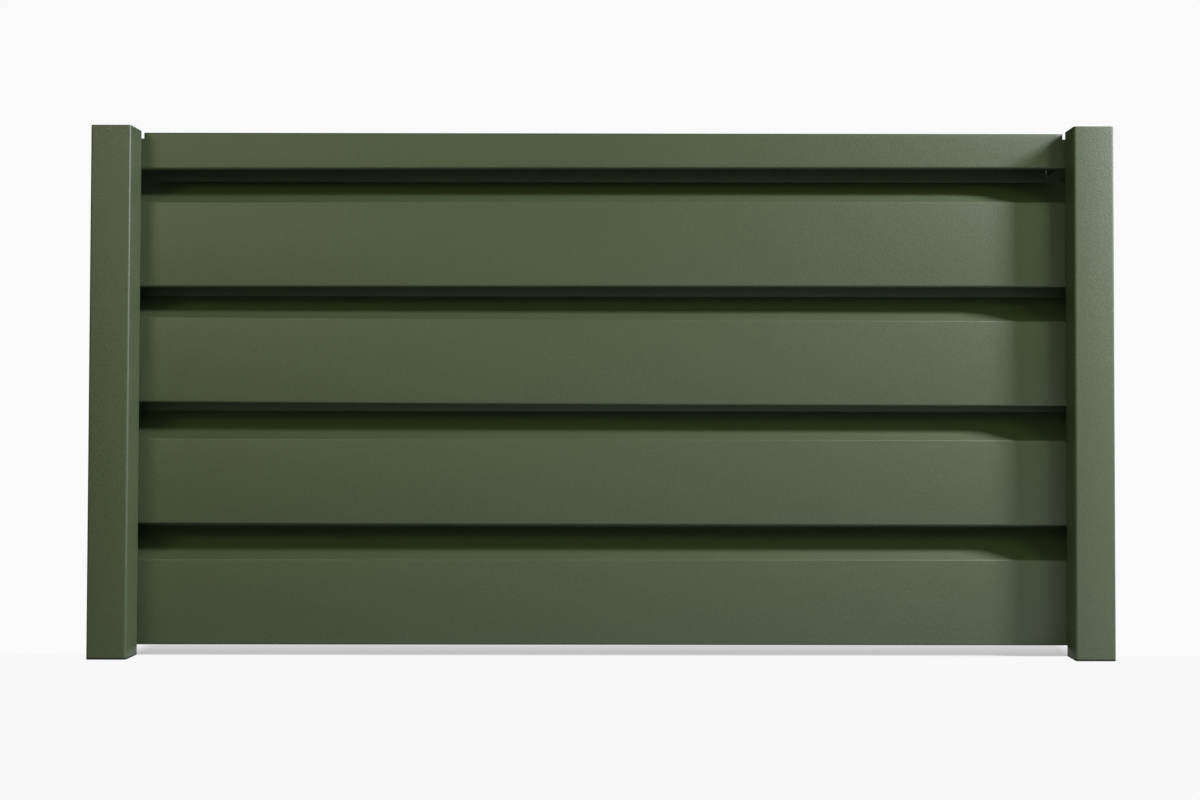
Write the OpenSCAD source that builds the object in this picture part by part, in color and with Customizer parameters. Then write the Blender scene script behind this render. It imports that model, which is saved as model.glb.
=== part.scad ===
// Louvred fence panel, one bay: folded steel louvres between two tube posts.
// Origin: centre of the left post's foot, on the ground. +X runs along the panel
// to the right post, the front faces -Y, and +Z is up. Sizes are in millimetres.

/* [Panel] */
// Clear width between the two posts
clear_width = 1415; // [600:1:2400]
// Number of louvres under the top strip
louvre_count = 4; // [2:1:8]
// Height from one louvre's lower edge to the next one's
louvre_pitch = 182.5; // [120:0.5:260]
// Height of the lowest louvre's lower edge above the ground
ground_gap = 15.5; // [5:0.5:80]

/* [Posts] */
// Width of a post across the front
post_width = 60; // [40:1:100]
// Depth of a post from front to back
post_depth = 40; // [30:1:100]
// Wall of the post's tube
post_wall = 2; // [1.5:0.5:4]
// Outer radius of the post's corners
post_corner_r = 3.5; // [1:0.5:6]
// Height of the posts above the panel's top edge
post_above_panel = 1.5; // [0:0.5:60]
// Thickness of the cap that closes a post
cap_thickness = 2; // [1:0.5:5]

/* [Foot plugs] */
// Thickness of the foot plug's sole under the tube
sole_thickness = 3; // [2:0.5:10]
// Height of the plug's walls inside the tube
plug_height = 18; // [8:1:40]
// Wall of the plug inside the tube
plug_wall = 2.5; // [1.5:0.5:4]
// Clearance between the plug and the tube
plug_clearance = 0.2; // [0.1:0.05:0.5]

/* [Louvres] */
// Thickness of the folded sheet
sheet = 1; // [0.6:0.1:1.5]
// Inner radius of the sheet's folds
fold_r = 2; // [0.5:0.5:4]
// Open height between one louvre's face and the next one's
face_gap = 53; // [35:0.5:90]
// Depth of the hem turned back at the lower edge
hem_depth = 12; // [6:1:25]
// Depth from the front face to the front of the rear lip
shoulder_depth = 71; // [35:1:110]
// Rise of the sloping shoulder from the face to the lip
shoulder_rise = 44; // [20:0.5:60]
// Height of the lip that stands behind the louvre above
lip_overlap = 27; // [15:1:30]
// Length of each louvre's end that lies on the back of a post
post_overlap = 50; // [35:1:56]

/* [Top strip] */
// Height of the top strip's front face
strip_height = 53; // [40:1:120]
// Clearance between the strip's rear lip and the top louvre's lip
lip_clearance = 4; // [1:1:8]
// Gap between a post's inner side and the strip's notched top corner
notch_gap = 3; // [1:0.5:10]
// Depth of that notch, from the top edge down to the tab behind the post
notch_drop = 9; // [4:0.5:20]
// Clearance between the strip's folded end tab and the top louvre's lip
tab_clearance = 1; // [0.5:0.5:5]

/* [Hidden] */
$fn = 48;
fold_steps = 6;
olive = "#4b5339";
black = "#1e211d";

// heights
face_height = louvre_pitch - face_gap;
lip_height = face_gap - shoulder_rise + lip_overlap;
strip_lip = strip_height - lip_overlap - lip_clearance;
panel_top = ground_gap + louvre_count * louvre_pitch + strip_height;
post_top = panel_top + post_above_panel;
tube_bottom = sole_thickness;
tube_top = post_top - cap_thickness;

// places along the panel
right_post_x = clear_width + post_width;
mid_x = right_post_x / 2;
louvre_x = post_width / 2 - post_overlap;
louvre_length = clear_width + 2 * post_overlap;

// places from front to back: the louvres lie on the posts' backs
face_y = post_depth / 2;
lip_y = face_y + shoulder_depth;

// ---- outline of a folded sheet, from the path of its middle line ----

function unit(v) = v / norm(v);
function left_of(v) = [-v.y, v.x];
function turned(v, a) = [v.x * cos(a) - v.y * sin(a), v.x * sin(a) + v.y * cos(a)];
function heading(path, i) = unit(path[i + 1] - path[i]);

// Points of one fold at corner i, on the side that lies `side` to the left
function fold(path, i, side, mid_r) =
    let (
        before = heading(path, i - 1),
        after = heading(path, i),
        turn = atan2(cross(before, after), before * after),
        centre = path[i] + unit(after - before) * mid_r / cos(turn / 2),
        start = -sign(turn) * left_of(before),
        r = mid_r - sign(turn) * side
    )
    [for (k = [0:fold_steps]) centre + r * turned(start, turn * k / fold_steps)];

function sheet_side(path, side, mid_r) =
    let (last = len(path) - 1)
    concat(
        [path[0] + side * left_of(heading(path, 0))],
        [for (i = [1:last - 1]) each fold(path, i, side, mid_r)],
        [path[last] + side * left_of(heading(path, last - 1))]
    );

module folded_sheet(path, thickness, inner_r) {
    mid_r = inner_r + thickness / 2;
    near = sheet_side(path, thickness / 2, mid_r);
    far = sheet_side(path, -thickness / 2, mid_r);
    polygon(concat(near, [for (i = [len(far) - 1:-1:0]) far[i]]));
}

// Draws a section given in (Y, Z) and runs it along X
module along_x(length) {
    rotate([90, 0, 90]) linear_extrude(length) children();
}

// ---- posts ----

module rounded_rectangle(width, depth, r) {
    square([width - 2 * r, depth], center = true);
    square([width, depth - 2 * r], center = true);
    for (sx = [-1, 1], sy = [-1, 1])
        translate([sx * (width / 2 - r), sy * (depth / 2 - r)]) circle(r);
}

module post_outline(inset = 0) {
    rounded_rectangle(post_width - 2 * inset, post_depth - 2 * inset,
                      max(post_corner_r - inset, 0.5));
}

module post() {
    color(olive) translate([0, 0, tube_bottom])
        linear_extrude(tube_top - tube_bottom) difference() {
            post_outline();
            post_outline(post_wall);
        }
}

module post_cap() {
    color(olive) translate([0, 0, tube_top]) linear_extrude(cap_thickness) post_outline();
}

module post_foot() {
    plug = post_wall + plug_clearance;
    color(black) {
        linear_extrude(sole_thickness) post_outline();
        linear_extrude(sole_thickness + plug_height) difference() {
            post_outline(plug);
            post_outline(plug + plug_wall);
        }
    }
}

// ---- louvre and top strip ----

module louvre(k) {
    face = face_y + sheet / 2;
    lip = lip_y + sheet / 2;
    path = [
        [face_y + hem_depth, sheet / 2],
        [face, sheet / 2],
        [face, face_height],
        [lip, face_height + shoulder_rise],
        [lip, face_height + shoulder_rise + lip_height]
    ];
    color(olive) translate([louvre_x, 0, ground_gap + (k - 1) * louvre_pitch])
        along_x(louvre_length) folded_sheet(path, sheet, fold_r);
}

// Closes the sheets' ends behind the post, from the lowest hem up to the panel's top
module end_plate() {
    color(olive) translate([louvre_x - sheet, face_y, ground_gap])
        cube([sheet, shoulder_depth + sheet, panel_top - ground_gap]);
}

// What is cut from the strip's ends: all but the tab of face and hem behind the post
module strip_end_cut() {
    tab_top = strip_height - notch_drop;
    behind_hem = face_y + hem_depth + sheet;
    translate([louvre_x - 1, 0, 0]) along_x(post_overlap + notch_gap + 1)
        polygon([
            [face_y - 1, tab_top],
            [behind_hem, tab_top],
            [behind_hem, -1],
            [lip_y + sheet + 1, -1],
            [lip_y + sheet + 1, strip_height + 1],
            [face_y - 1, strip_height + 1]
        ]);
}

// Folded tab that closes the strip's own end, clear of the top louvre's lip
module strip_end_tab() {
    translate([louvre_x + post_overlap + notch_gap, face_y + sheet / 2, fold_r])
        cube([sheet, shoulder_depth - sheet / 2 - tab_clearance, strip_height - fold_r - sheet / 2]);
}

module top_strip() {
    face = face_y + sheet / 2;
    lip = lip_y + sheet / 2;
    top = strip_height - sheet / 2;
    path = [
        [face_y + hem_depth, sheet / 2],
        [face, sheet / 2],
        [face, top],
        [lip, top],
        [lip, strip_height - strip_lip]
    ];
    color(olive) translate([0, 0, panel_top - strip_height]) {
        difference() {
            translate([louvre_x, 0, 0]) along_x(louvre_length) folded_sheet(path, sheet, fold_r);
            strip_end_cut();
            mirrored() strip_end_cut();
        }
        strip_end_tab();
        mirrored() strip_end_tab();
    }
}

// ---- the right side: posts alike, end plates and cuts mirrored about the middle ----

module at_right_post() {
    translate([right_post_x, 0, 0]) children();
}

module mirrored() {
    translate([2 * mid_x, 0, 0]) mirror([1, 0, 0]) children();
}

post();  // post_left
at_right_post() post();  // post_right
post_cap();  // post_cap_left
at_right_post() post_cap();  // post_cap_right
post_foot();  // post_foot_left
at_right_post() post_foot();  // post_foot_right
end_plate();  // end_plate_left
mirrored() end_plate();  // end_plate_right
top_strip();
for (k = [1:louvre_count])
    louvre(k);
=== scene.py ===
import math

import bpy
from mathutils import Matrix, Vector


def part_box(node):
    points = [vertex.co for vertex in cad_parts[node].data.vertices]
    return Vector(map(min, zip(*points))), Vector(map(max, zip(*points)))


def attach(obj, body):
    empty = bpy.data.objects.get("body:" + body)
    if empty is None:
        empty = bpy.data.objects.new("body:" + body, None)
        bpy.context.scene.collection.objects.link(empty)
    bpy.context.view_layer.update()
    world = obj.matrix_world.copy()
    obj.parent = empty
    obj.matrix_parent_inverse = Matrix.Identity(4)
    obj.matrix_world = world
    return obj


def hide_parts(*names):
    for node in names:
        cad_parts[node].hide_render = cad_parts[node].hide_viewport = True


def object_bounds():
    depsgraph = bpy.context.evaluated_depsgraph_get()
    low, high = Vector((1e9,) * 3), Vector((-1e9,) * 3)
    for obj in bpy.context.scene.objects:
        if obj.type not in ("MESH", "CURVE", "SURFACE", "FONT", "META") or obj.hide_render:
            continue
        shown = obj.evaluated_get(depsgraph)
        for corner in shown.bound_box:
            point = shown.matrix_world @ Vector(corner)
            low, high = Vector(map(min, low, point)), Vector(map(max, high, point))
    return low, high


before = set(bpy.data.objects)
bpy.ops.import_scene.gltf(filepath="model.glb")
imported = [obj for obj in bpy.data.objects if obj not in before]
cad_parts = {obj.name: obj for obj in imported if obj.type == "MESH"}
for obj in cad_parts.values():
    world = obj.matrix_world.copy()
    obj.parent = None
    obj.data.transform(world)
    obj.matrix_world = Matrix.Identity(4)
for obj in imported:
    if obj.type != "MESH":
        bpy.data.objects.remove(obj)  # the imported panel: its nodes, its one body and its record
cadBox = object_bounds()
mm = 0.001  # the sizes below are written in millimetres, those of the lamps in metres
tolerance = 0.05 * mm  # how close a corner has to lie to a line or a level to count as on it
smoothAngle = math.radians(35)  # flatter edges than this are shaded smooth
louvreCount = len([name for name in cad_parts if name.startswith("louvre_")])
sides = ("left", "right")


# small tools

def toLinear(hexColour):
    # an sRGB hex colour as the linear colour that a shader socket takes
    channels = [int(hexColour[i:i + 2], 16) / 255 for i in (1, 3, 5)]
    return [c / 12.92 if c <= 0.04045 else ((c + 0.055) / 1.055) ** 2.4 for c in channels] + [1]


def addNode(tree, kind, settings=None, links=None):
    # settings go to the sockets of that name or number, or else to the node itself
    node = tree.nodes.new(kind)
    for key, value in (settings or {}).items():
        if isinstance(key, int) or key in node.inputs:
            node.inputs[key].default_value = value
        else:
            setattr(node, key, value)
    for key, source in (links or {}).items():
        tree.links.new(source, node.inputs[key])
    return node


def newMaterial(name):
    material = bpy.data.materials.new(name)
    material.use_nodes = True
    material.node_tree.nodes.clear()
    return material, material.node_tree


def selectOnly(piece):
    bpy.ops.object.select_all(action="DESELECT")
    piece.select_set(True)
    bpy.context.view_layer.objects.active = piece


def editMode(piece, mode="VERT"):
    selectOnly(piece)
    bpy.ops.object.mode_set(mode="EDIT")
    bpy.ops.mesh.select_mode(type=mode)


def select(piece, kind, test):
    # in edit mode: selects only the edges or polygons whose corners all pass the test
    bpy.ops.mesh.select_all(action="DESELECT")
    bpy.ops.object.mode_set(mode="OBJECT")
    mesh = piece.data
    good = {v.index for v in mesh.vertices if test(v.co)}
    for element in getattr(mesh, kind):
        element.select = all(i in good for i in element.vertices)
    bpy.ops.object.mode_set(mode="EDIT")


def extrude(step):
    # in edit mode: draws the selection out by that step
    bpy.ops.mesh.extrude_region_move(TRANSFORM_OT_translate={"value": step})


def closeShell():
    # turns every face outwards and leaves edit mode
    bpy.ops.mesh.select_all(action="SELECT")
    bpy.ops.mesh.normals_make_consistent(inside=False)
    bpy.ops.object.mode_set(mode="OBJECT")


def applyModifier(piece, kind, **settings):
    selectOnly(piece)
    modifier = piece.modifiers.new(kind.title(), kind)
    for key, value in settings.items():
        setattr(modifier, key, value)
    bpy.ops.object.modifier_apply(modifier=modifier.name)


def settle(piece):
    # puts the piece's place, turn and size into its mesh
    selectOnly(piece)
    bpy.ops.object.transform_apply(location=True, rotation=True, scale=True)


def addPlane(centre, width, height, turn=(0, 0, 0)):
    bpy.ops.object.select_all(action="DESELECT")
    bpy.ops.mesh.primitive_plane_add(size=1, location=centre, rotation=turn)
    piece = bpy.context.object
    piece.scale = (width, height, 1)
    settle(piece)
    return piece


def joinAll(pieces):
    selectOnly(pieces[0])
    for piece in pieces:
        piece.select_set(True)
    bpy.ops.object.join()
    return bpy.context.object


def dress(piece, name, material, slot, *nodes):
    # names the piece and gives it its material and its body, and hides the nodes it stands for
    piece.name = name
    piece.data.name = name
    piece.data.materials.clear()
    piece.data.materials.append(material)
    selectOnly(piece)
    bpy.ops.object.shade_smooth_by_angle(angle=smoothAngle)
    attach(piece, "root")
    if nodes:
        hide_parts(*nodes)


# materials

powderCoat = {
    "colour": "#465535",
    "paintedPitShade": "#404d2f",       # the darker tone painted into the grain's pits: painted shade in the texture
    "grain": 2.1,             # the real grain is near 0.3 mm, drawn coarser so that it shows
    "grainSoftness": 0.55,
    "pits": (0.36, 0.64),     # the part of the grain's range that runs from the painted pit shade to the top
    "cloud": 90,              # slow drift in the film's thickness
    "cloudShare": 0.3,
    "roughness": (0.44, 0.56),
    "bump": 0.23,
    "sheen": 0.8,             # the coat reflects a little more than bare plastic
}
footPlastic = {"colour": "#20231f", "grain": 0.9, "roughness": (0.56, 0.68), "bump": 0.03}
screwPaint = {"colour": "#4b5441", "grain": 0.8, "roughness": (0.34, 0.46), "bump": 0.01}
resinIor = 1.5  # refractive index of the coat, the paint and the plastic


def noiseGrain(tree, place, size, detail, roughness=0.5):
    return addNode(tree, "ShaderNodeTexNoise",
                   {"Scale": 1 / (size * mm), "Detail": detail, "Roughness": roughness},
                   {"Vector": place}).outputs["Fac"]


def grainSkin(tree, grain, look):
    # the sockets that every skin here shares: gloss and relief that follow the grain
    low, high = look["roughness"]
    roughness = addNode(tree, "ShaderNodeMapRange", {"To Min": low, "To Max": high},
                        {"Value": grain}).outputs["Result"]
    bump = addNode(tree, "ShaderNodeBump", {"Distance": look["bump"] * mm},
                   {"Height": grain}).outputs["Normal"]
    return {"Roughness": roughness, "Normal": bump}


def coatMaterial():
    # Polyester powder coat on galvanised steel, fine texture, sprayed and baked: a matt olive
    # skin with a tiny orange peel that breaks the light into grain
    material, tree = newMaterial("powderCoatFineTextureMatt")
    place = addNode(tree, "ShaderNodeTexCoord").outputs["Object"]
    grain = noiseGrain(tree, place, powderCoat["grain"], 2, powderCoat["grainSoftness"])
    cloud = noiseGrain(tree, place, powderCoat["cloud"], 3)
    low, high = powderCoat["pits"]
    # painted shade: the grain's pits, where the bump sinks, get the darker tone; the slow cloud
    # is a real drift in the film's thickness
    pitShadeSpeckle = addNode(tree, "ShaderNodeMapRange", {"From Min": low, "From Max": high},
                      {"Value": grain}).outputs["Result"]
    amount = addNode(tree, "ShaderNodeMix", {0: powderCoat["cloudShare"]},
                     {2: pitShadeSpeckle, 3: cloud}).outputs[0]
    colour = addNode(tree, "ShaderNodeMix",
                     {"data_type": "RGBA", 6: toLinear(powderCoat["paintedPitShade"]),
                      7: toLinear(powderCoat["colour"])}, {0: amount}).outputs[2]
    shader = addNode(tree, "ShaderNodeBsdfPrincipled",
                     {"IOR": resinIor, "Specular IOR Level": powderCoat["sheen"]},
                     {"Base Color": colour, **grainSkin(tree, grain, powderCoat)})
    addNode(tree, "ShaderNodeOutputMaterial", None, {"Surface": shader.outputs["BSDF"]})
    return material


def grainMaterial(name, look):
    material, tree = newMaterial(name)
    place = addNode(tree, "ShaderNodeTexCoord").outputs["Object"]
    grain = noiseGrain(tree, place, look["grain"], 3)
    shader = addNode(tree, "ShaderNodeBsdfPrincipled",
                     {"Base Color": toLinear(look["colour"]), "IOR": resinIor},
                     grainSkin(tree, grain, look))
    addNode(tree, "ShaderNodeOutputMaterial", None, {"Surface": shader.outputs["BSDF"]})
    return material


coat = coatMaterial()
# Injection-moulded black polyethylene with a satin skin
mouldedPlastic = grainMaterial("mouldedPolyethyleneBlack", footPlastic)
# Zinc-plated steel screw, painted to match the coat
paintedScrew = grainMaterial("paintedSteelScrew", screwPaint)
print("materials made:", len(bpy.data.materials))


# folded sheets: a flat strip, its legs extruded one by one, and the folds rounded

sheetMetal = {
    "sheet": 1,
    "foldRadius": 2.5,     # to the middle of the sheet
    "foldSegments": 6,
    "hemDepth": 12,
    "lengthCuts": 47,      # cross cuts, so that a long sheet can bow a little
    "cutEdge": 0.15,       # softened edge of the cut sheet
    "cutAngle": 60,        # only edges sharper than this are cut edges
    "lieReach": 1.2,       # above 1, the lie is already full a little behind the face
}
louvre = {"faceGap": 53, "shoulderRise": 44}  # faceGap: open height between two faces
topStrip = {"lip": 22, "notchGap": 3, "notchDrop": 9, "tabFromFoot": 2, "tabFromBack": 2}
halfSheet = sheetMetal["sheet"] * mm / 2


def foldedSheet(middleLine, start, length):
    # middleLine: (y, z) points of the section; the sheet runs from x = start
    (firstY, firstZ), (nextY, nextZ) = middleLine[:2]
    centre = (start + length / 2, (firstY + nextY) / 2, (firstZ + nextZ) / 2)
    slope = math.atan2(nextZ - firstZ, nextY - firstY)
    leg = math.hypot(nextY - firstY, nextZ - firstZ)
    piece = addPlane(centre, length, leg, (slope, 0, 0))

    def near(place, point):
        return math.hypot(place.y - point[0], place.z - point[1]) < tolerance

    editMode(piece, "EDGE")
    select(piece, "edges", lambda place: near(place, middleLine[1]))
    for here, there in zip(middleLine[1:], middleLine[2:]):
        extrude((0, there[0] - here[0], there[1] - here[1]))

    # only the edges that run the whole length are cut across
    bpy.ops.mesh.select_all(action="DESELECT")
    bpy.ops.object.mode_set(mode="OBJECT")
    for edge in piece.data.edges:
        a, b = (piece.data.vertices[i].co for i in edge.vertices)
        edge.select = abs(a.x - b.x) > length / 2
    bpy.ops.object.mode_set(mode="EDIT")
    bpy.ops.mesh.subdivide(number_cuts=sheetMetal["lengthCuts"])

    for before, fold, after in zip(middleLine, middleLine[1:], middleLine[2:]):
        turn = Vector((fold[0] - before[0], fold[1] - before[1])).angle(
            Vector((after[0] - fold[0], after[1] - fold[1])))
        select(piece, "edges", lambda place: near(place, fold))
        bpy.ops.mesh.bevel(offset=sheetMetal["foldRadius"] * mm * math.tan(turn / 2),
                           segments=sheetMetal["foldSegments"], affect="EDGES")
    bpy.ops.object.mode_set(mode="OBJECT")
    return piece


def softenCuts(piece):
    applyModifier(piece, "BEVEL", width=sheetMetal["cutEdge"] * mm, segments=2,
                  limit_method="ANGLE", angle_limit=math.radians(sheetMetal["cutAngle"]))


def thicken(piece):
    applyModifier(piece, "SOLIDIFY", thickness=sheetMetal["sheet"] * mm, offset=0,
                  use_even_offset=True)
    softenCuts(piece)


# how far the left end, the middle and the right end of each face sit above their true height:
# thin sheet bows a little, and no two hang quite alike
sheetLie = {
    "louvre_1": (-1.6, 0.2, -0.8),
    "louvre_2": (-1.9, 1.0, 0.1),
    "louvre_3": (-0.3, 1.2, 4.4),
    "louvre_4": (-1.9, -1.2, 2.8),
    "top_strip": (-1.9, -1.6, 0.7),
}


def hangSheet(piece, name, low, high):
    left, middle, right = sheetLie[name]
    bow = 2 * middle - (left + right) / 2
    shares = ((left, lambda t: (1 - t) ** 2),
              (bow, lambda t: 2 * t * (1 - t)),
              (right, lambda t: t * t))
    group = piece.vertex_groups.new(name="lie")
    topHeld = name == "top_strip"  # its top edge is straight, and only its lower edge wanders
    for amount, share in shares:
        for vertex in piece.data.vertices:
            along = (vertex.co.x - low.x) / (high.x - low.x)
            fromLip = (high.y - vertex.co.y) / (high.y - low.y) * sheetMetal["lieReach"]
            fromTop = (high.z - vertex.co.z) / (high.z - low.z) if topHeld else 1
            group.add([vertex.index], share(along) * min(1, fromLip) * fromTop, "REPLACE")
        applyModifier(piece, "DISPLACE", direction="Z", mid_level=0, strength=amount * mm,
                      vertex_group="lie")
    piece.vertex_groups.clear()


def sectionPoints(low, high, faceTop, backTop, lipEnd):
    # the middle line shared by the louvres and the strip: hem, face, shoulder or top, lip
    face, lip, foot = low.y + halfSheet, high.y - halfSheet, low.z + halfSheet
    return [(low.y + sheetMetal["hemDepth"] * mm, foot), (face, foot), (face, faceTop),
            (lip, backTop), (lip, lipEnd)]


def makeLouvre(k):
    name = f"louvre_{k}"
    low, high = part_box(name)
    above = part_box(f"louvre_{k + 1}" if k < louvreCount else "top_strip")[0].z
    faceTop = above - louvre["faceGap"] * mm
    points = sectionPoints(low, high, faceTop, faceTop + louvre["shoulderRise"] * mm, high.z)
    piece = foldedSheet(points, low.x, high.x - low.x)
    hangSheet(piece, name, low, high)
    thicken(piece)
    dress(piece, f"louvreSheet{k}", coat, "powder_coat", name)


def makeTopStrip():
    low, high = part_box("top_strip")
    top = high.z - halfSheet
    lipEnd = high.z - topStrip["lip"] * mm
    piece = foldedSheet(sectionPoints(low, high, top, top, lipEnd), low.x, high.x - low.x)

    # the ends keep only a tab of face and hem behind each post
    cuts = [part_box("post_left")[1].x + topStrip["notchGap"] * mm,
            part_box("post_right")[0].x - topStrip["notchGap"] * mm]
    tabTop = high.z - topStrip["notchDrop"] * mm
    behindHem = low.y + (sheetMetal["hemDepth"] + sheetMetal["sheet"]) * mm
    editMode(piece, "FACE")
    for across, along, at in ((1, 0, cuts[0]), (1, 0, cuts[1]), (0, 1, tabTop)):
        bpy.ops.mesh.select_all(action="SELECT")
        bpy.ops.mesh.bisect(plane_co=(at, 0, at), plane_no=(across, 0, along))
    for isEnd in (lambda x: x < cuts[0] + tolerance, lambda x: x > cuts[1] - tolerance):
        for isCut in (lambda place: place.z > tabTop - tolerance,
                      lambda place: place.y > behindHem):
            select(piece, "polygons", lambda place: isEnd(place.x) and isCut(place))
            bpy.ops.mesh.delete(type="FACE")
    bpy.ops.object.mode_set(mode="OBJECT")

    # a folded tab closes each of the strip's own ends, clear of the top louvre's lip
    front, back = low.y + halfSheet, high.y - topStrip["tabFromBack"] * mm
    foot = low.z + topStrip["tabFromFoot"] * mm
    tabs = [addPlane((at, (front + back) / 2, (foot + top) / 2), top - foot, back - front,
                     (0, math.pi / 2, 0))
            for at in (cuts[0] + halfSheet, cuts[1] - halfSheet)]
    piece = joinAll([piece] + tabs)

    hangSheet(piece, "top_strip", low, high)
    thicken(piece)
    dress(piece, "topStripSheet", coat, "powder_coat", "top_strip")


def makeEndPlate(side):
    # a flat sheet behind the post, closing the louvres' ends
    low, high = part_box(f"end_plate_{side}")
    bpy.ops.object.select_all(action="DESELECT")
    bpy.ops.mesh.primitive_cube_add(size=1, location=(low + high) / 2)
    piece = bpy.context.object
    piece.scale = high - low
    settle(piece)
    softenCuts(piece)
    dress(piece, f"endPlate{side.title()}", coat, "powder_coat", f"end_plate_{side}")


for k in range(1, louvreCount + 1):
    makeLouvre(k)
makeTopStrip()
for side in sides:
    makeEndPlate(side)
print("folded sheets made")


# hexagon-head screws that hold each sheet's ends to the posts, driven from behind

screw = {"washer": 12, "washerRise": 1, "acrossFlats": 8, "headRise": 4.2, "edge": 0.4,
         "louvreHeights": (32, 98), "stripHeight": 27}


def disc(across, rise, startY, corners=32):
    # a short cylinder that stands on the plane y = startY and faces the back
    bpy.ops.object.select_all(action="DESELECT")
    bpy.ops.mesh.primitive_cylinder_add(vertices=corners, radius=across / 2 * mm, depth=rise * mm,
                                        location=(0, startY + rise * mm / 2, 0),
                                        rotation=(-math.pi / 2, 0, 0))
    piece = bpy.context.object
    settle(piece)
    editMode(piece)
    select(piece, "edges", lambda place: place.y > startY + rise * mm - tolerance)
    bpy.ops.mesh.bevel(offset=screw["edge"] * mm, segments=3, affect="EDGES")
    bpy.ops.object.mode_set(mode="OBJECT")
    return piece


def makeScrew(sheetBack):
    washer = disc(screw["washer"], screw["washerRise"], sheetBack)
    acrossCorners = screw["acrossFlats"] / math.cos(math.pi / 6)
    hexagon = disc(acrossCorners, screw["headRise"], sheetBack + screw["washerRise"] * mm, 6)
    return joinAll([washer, hexagon])


def makeScrews(side):
    # one screw is made, then copied to every place on the post, each copy with its own mesh
    postLow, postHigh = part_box(f"post_{side}")
    heights = [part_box(f"louvre_{k}")[0].z + height * mm
               for k in range(1, louvreCount + 1) for height in screw["louvreHeights"]]
    heights.append(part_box("top_strip")[0].z + screw["stripHeight"] * mm)
    first = makeScrew(postHigh.y + sheetMetal["sheet"] * mm)
    copies = []
    for height in heights:
        selectOnly(first)
        bpy.ops.object.duplicate(linked=False)
        bpy.ops.transform.translate(value=((postLow.x + postHigh.x) / 2, 0, height))
        settle(bpy.context.object)
        copies.append(bpy.context.object)
    bpy.data.objects.remove(first)
    dress(joinAll(copies), f"sheetScrews{side.title()}", paintedScrew, "powder_coat")


for side in sides:
    makeScrews(side)
print("screws made")


# posts: tubes with rounded corners, each closed by a cap above and a plug below

post = {"wall": 2, "corner": 3.5, "cornerSegments": 8, "capEdge": 0.5, "soleEdge": 0.6, "sole": 3,
        "plugGap": 2.2, "plugHeight": 18}


def outlinePlate(low, high):
    # a flat plate with the post's rounded outline at the box's foot, left in edit mode
    centre = ((low.x + high.x) / 2, (low.y + high.y) / 2, low.z)
    piece = addPlane(centre, high.x - low.x, high.y - low.y)
    editMode(piece)
    bpy.ops.mesh.select_all(action="SELECT")
    bpy.ops.mesh.bevel(offset=post["corner"] * mm, segments=post["cornerSegments"],
                       affect="VERTICES")
    return piece


def makePost(side):
    low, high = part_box(f"post_{side}")
    piece = outlinePlate(low, high)
    bpy.ops.mesh.delete(type="ONLY_FACE")
    bpy.ops.mesh.select_all(action="SELECT")
    extrude((0, 0, high.z - low.z))
    closeShell()
    applyModifier(piece, "SOLIDIFY", thickness=post["wall"] * mm, offset=-1, use_even_offset=True)
    dress(piece, f"postTube{side.title()}", coat, "powder_coat", f"post_{side}")


def makeCap(side):
    low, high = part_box(f"post_cap_{side}")
    piece = outlinePlate(low, high)
    bpy.ops.mesh.select_all(action="SELECT")
    extrude((0, 0, high.z - low.z))
    select(piece, "edges", lambda place: place.z > high.z - tolerance)
    bpy.ops.mesh.bevel(offset=post["capEdge"] * mm, segments=3, affect="EDGES")
    closeShell()
    dress(piece, f"postCap{side.title()}", coat, "powder_coat", f"post_cap_{side}")


def makeFoot(side):
    low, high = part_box(f"post_foot_{side}")
    piece = outlinePlate(low, high)
    bpy.ops.mesh.select_all(action="SELECT")
    extrude((0, 0, post["sole"] * mm))
    select(piece, "polygons", lambda place: place.z > low.z + post["sole"] * mm - tolerance)
    bpy.ops.mesh.inset(thickness=post["plugGap"] * mm)
    extrude((0, 0, post["plugHeight"] * mm))
    select(piece, "edges", lambda place: place.z < low.z + tolerance)
    bpy.ops.mesh.bevel(offset=post["soleEdge"] * mm, segments=3, affect="EDGES")
    closeShell()
    dress(piece, f"postFoot{side.title()}", mouldedPlastic, "foot_plug", f"post_foot_{side}")


for side in sides:
    makePost(side)
    makeCap(side)
    makeFoot(side)
print("posts made")


# camera: the lens and place in mm, the turns in degrees

camera = {"lens": 35, "place": (815, -1763, 358), "tiltUp": 0.99, "roll": -0.095,
          "shift": -0.0445}
bpy.ops.object.camera_add(
    location=[value * mm for value in camera["place"]],
    rotation=(math.radians(90 + camera["tiltUp"]), math.radians(camera["roll"]), 0))
lens = bpy.context.object
lens.data.lens = camera["lens"]
lens.data.shift_x = camera["shift"]
bpy.context.scene.camera = lens


# floor, background and lights

def areaLight(name, place, aim, size, power, colour):
    bpy.ops.object.light_add(type="AREA", location=place)
    lamp = bpy.context.object
    lamp.name = name
    lamp.data.shape = "RECTANGLE"
    lamp.data.size, lamp.data.size_y = size
    lamp.data.energy = power
    lamp.data.color = colour
    lamp.rotation_euler = (Vector(aim) - Vector(place)).to_track_quat("-Z", "Y").to_euler()


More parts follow.
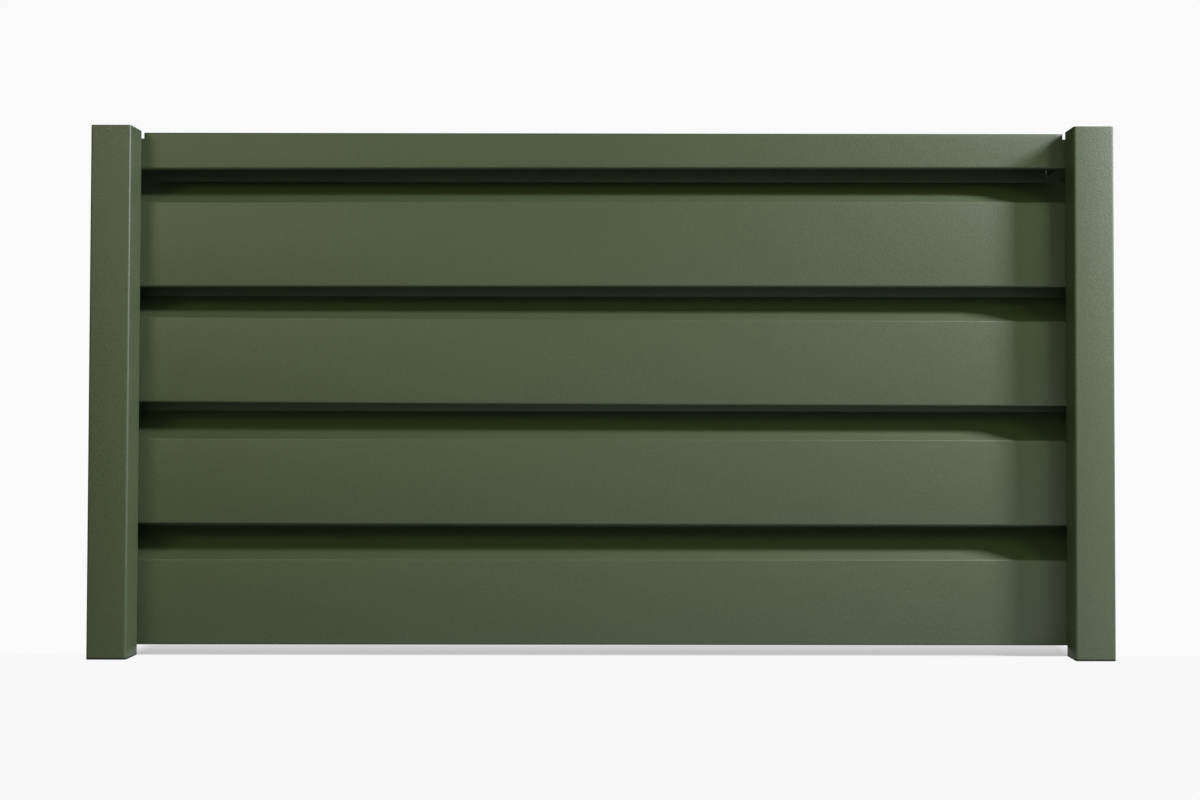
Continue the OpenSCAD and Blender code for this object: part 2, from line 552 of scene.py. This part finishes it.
# a narrow cool softbox high on the right, warm fills in front, and a plain one for the back
lamps = {
    "keyRight": {"place": (3.4, -0.84, 2.1), "aim": (1.1, 0, 0.45), "size": (0.35, 0.8),
                 "power": 200, "colour": (0.84, 0.8, 1.0)},
    "fillRight": {"place": (2.9, -1.9, 1.3), "aim": (1.2, 0, 0.5), "size": (0.8, 0.8),
                  "power": 12.5, "colour": (0.887, 1.0, 0.608)},
    "fillLeft": {"place": (-1.2, -2.6, 1.6), "aim": (0.75, 0, 0.4), "size": (1.2, 1.2),
                 "power": 20.5, "colour": (1.0, 0.98, 0.63)},
    "fillFront": {"place": (0.75, -3.2, 0.6), "aim": (0.75, 0, 0.4), "size": (2.0, 1.0),
                  "power": 8, "colour": (0.985, 1.0, 0.8)},
    "top": {"place": (0.75, -0.7, 2.8), "aim": (0.75, 0, 0.4), "size": (2.4, 1.8),
            "power": 4, "colour": (1.0, 1.0, 1.0)},
    "behind": {"place": (0.75, 3.2, 0.5), "aim": (0.75, 0, 0.45), "size": (2.4, 0.8),
               "power": 45, "colour": (1.0, 1.0, 1.0)},
}
for name, lamp in lamps.items():
    areaLight(name, **lamp)

roomWhite = 0.955  # how bright the camera sees the white room, and the floor that runs into it
floor = {
    "radius": 30,          # in metres
    "colour": 0.38,        # grey of the matt sheet that takes the shadows
    "seenWhite": 0.46,     # share of plain white right under the panel; the rest is matt grey, so this lower white share paints shadow there
    "frontWhite": 0.97,    # the same share in front of the panel
    "frontEdge": 3,        # width of the change at the face plane
    "shadowReach": 190,    # how far the painted shadow runs backwards
    "sideReach": 40,       # how far it runs past the posts' inner sides
}


def makeWorld():
    # a matt coat mirrors nothing, so the camera alone sees the white room
    world = bpy.data.worlds.new("paleStudio")
    world.use_nodes = True
    tree = world.node_tree
    tree.nodes.clear()
    seen = addNode(tree, "ShaderNodeLightPath").outputs["Is Camera Ray"]
    dark = addNode(tree, "ShaderNodeBackground", {"Color": [1] * 4, "Strength": 0})
    white = addNode(tree, "ShaderNodeBackground", {"Color": [1] * 4, "Strength": roomWhite})
    mix = addNode(tree, "ShaderNodeMixShader", None,
                  {0: seen, 1: dark.outputs[0], 2: white.outputs[0]})
    addNode(tree, "ShaderNodeOutputWorld", None, {"Surface": mix.outputs[0]})
    bpy.context.scene.world = world


def makeFloor():
    # a pale sheet that runs into the white room; behind the face plane a painted shadow, fading
    # with distance, lets the real shadow on the matt grey show close round the object's foot
    middle = (cadBox[0] + cadBox[1]) / 2
    bpy.ops.object.select_all(action="DESELECT")
    bpy.ops.mesh.primitive_circle_add(vertices=96, radius=floor["radius"], fill_type="NGON",
                                      location=(middle.x, middle.y, cadBox[0].z))
    sheet = bpy.context.object
    sheet.name = "paleFloor"
    material, tree = newMaterial("paleStudioFloor")
    place = addNode(tree, "ShaderNodeTexCoord").outputs["Object"]

    # how far a point lies outside the panel's clear width or off its face plane
    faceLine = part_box("louvre_1")[0].y - middle.y
    clearHalf = (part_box("post_right")[0].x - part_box("post_left")[1].x) / 2
    sideScale = floor["shadowReach"] / floor["sideReach"]
    offset = place
    for operation, amount in (("SUBTRACT", (0, faceLine, 0)), ("ABSOLUTE", (0, 0, 0)),
                              ("SUBTRACT", (clearHalf, 0, 0)), ("MAXIMUM", (0, 0, 0)),
                              ("MULTIPLY", (sideScale, 1, 1))):
        offset = addNode(tree, "ShaderNodeVectorMath", {"operation": operation, 1: amount},
                         {0: offset}).outputs[0]
    away = addNode(tree, "ShaderNodeVectorMath", {"operation": "LENGTH"},
                   {0: offset}).outputs["Value"]
    # painted shadow: the white share drops close behind the panel by place alone, and the matt
    # grey there also takes the lamps' real shadow
    paintedShadowFade = addNode(tree, "ShaderNodeMapRange",
                   {"From Max": floor["shadowReach"] * mm, "To Min": floor["seenWhite"]},
                   {"Value": away}).outputs["Result"]

    # the painted shadow, and the real one on the matt grey, show only from the face plane
    # backwards
    alongY = addNode(tree, "ShaderNodeSeparateXYZ", None, {"Vector": place}).outputs["Y"]
    under = addNode(tree, "ShaderNodeMapRange",
                    {"From Min": faceLine - floor["frontEdge"] * mm, "From Max": faceLine},
                    {"Value": alongY}).outputs["Result"]
    white = addNode(tree, "ShaderNodeMix", {2: floor["frontWhite"]},
                    {0: under, 3: paintedShadowFade}).outputs[0]
    cameraRay = addNode(tree, "ShaderNodeLightPath").outputs["Is Camera Ray"]
    seen = addNode(tree, "ShaderNodeMath", {"operation": "MULTIPLY"},
                   {0: cameraRay, 1: white}).outputs[0]
    matt = addNode(tree, "ShaderNodeBsdfDiffuse", {"Color": [floor["colour"]] * 3 + [1]})
    glow = addNode(tree, "ShaderNodeEmission", {"Strength": roomWhite})
    mix = addNode(tree, "ShaderNodeMixShader", None,
                  {0: seen, 1: matt.outputs[0], 2: glow.outputs[0]})
    addNode(tree, "ShaderNodeOutputMaterial", None, {"Surface": mix.outputs[0]})
    sheet.data.materials.append(material)


makeWorld()
makeFloor()
bpy.context.scene.view_settings.view_transform = "Standard"
print("camera, lights and floor made")
